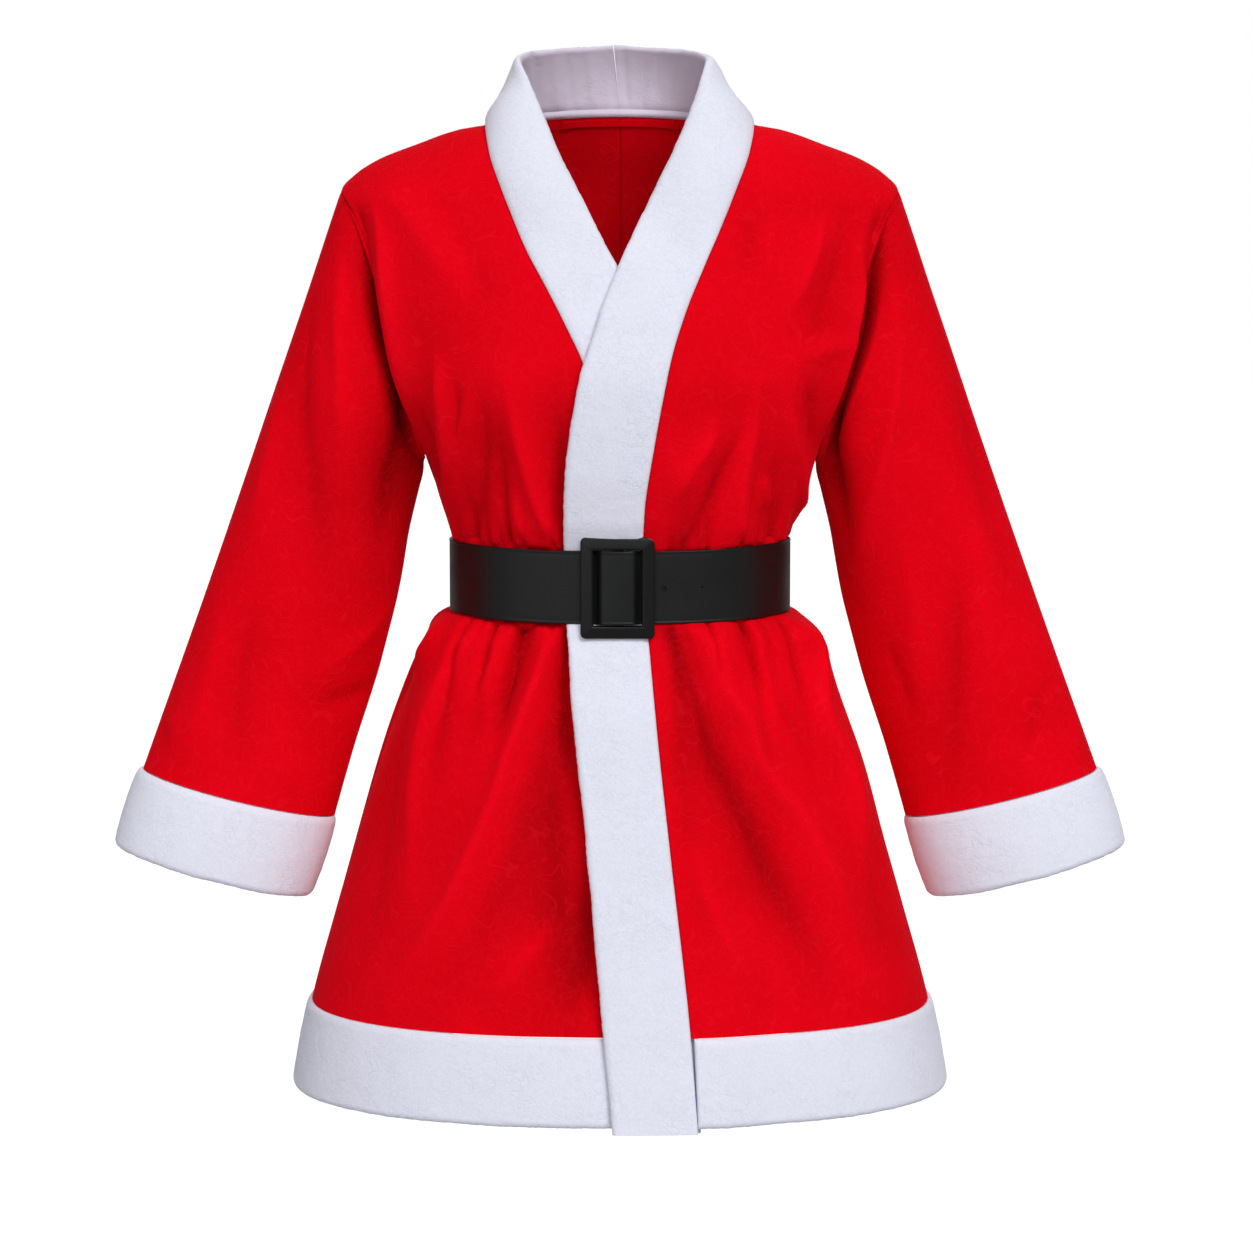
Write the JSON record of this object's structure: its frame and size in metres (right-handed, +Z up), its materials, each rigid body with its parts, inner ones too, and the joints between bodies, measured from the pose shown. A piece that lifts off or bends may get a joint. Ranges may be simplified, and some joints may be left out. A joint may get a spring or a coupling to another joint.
{
  "type": "christmas costume dress",
  "caption": "Knee-length red velour wrap dress with long sleeves, white fleece front band, collar, cuffs and hem, and a black slide-buckle belt.",
  "frame": {"origin": "midway between the two neck points, where each shoulder seam meets the collar, which is where the wearer's shoulders carry the dress", "axes": "+Z up along the dress, +X to the wearer's left, +Y to the back, so the front faces -Y"},
  "size_m": [0.8044, 0.3526, 0.8344],
  "materials": {
    "velour": "matte red velour",
    "fleece": "matte white plush fleece",
    "leatherette": "satin black leatherette",
    "buckle": "satin black moulded plastic"
  },
  "bodies": {
    "root": {"front_left": "velour", "front_right": "velour", "back_left": "velour", "back_right": "velour", "sleeve_left": "velour", "sleeve_right": "velour", "neck_tape": "velour", "band_left": "fleece", "band_right": "fleece", "hem_front_left": "fleece", "hem_front_right": "fleece", "hem_back": "fleece", "cuff_left": "fleece", "cuff_right": "fleece", "belt_strap": "leatherette", "buckle": "buckle"}
  },
  "joints": []
}
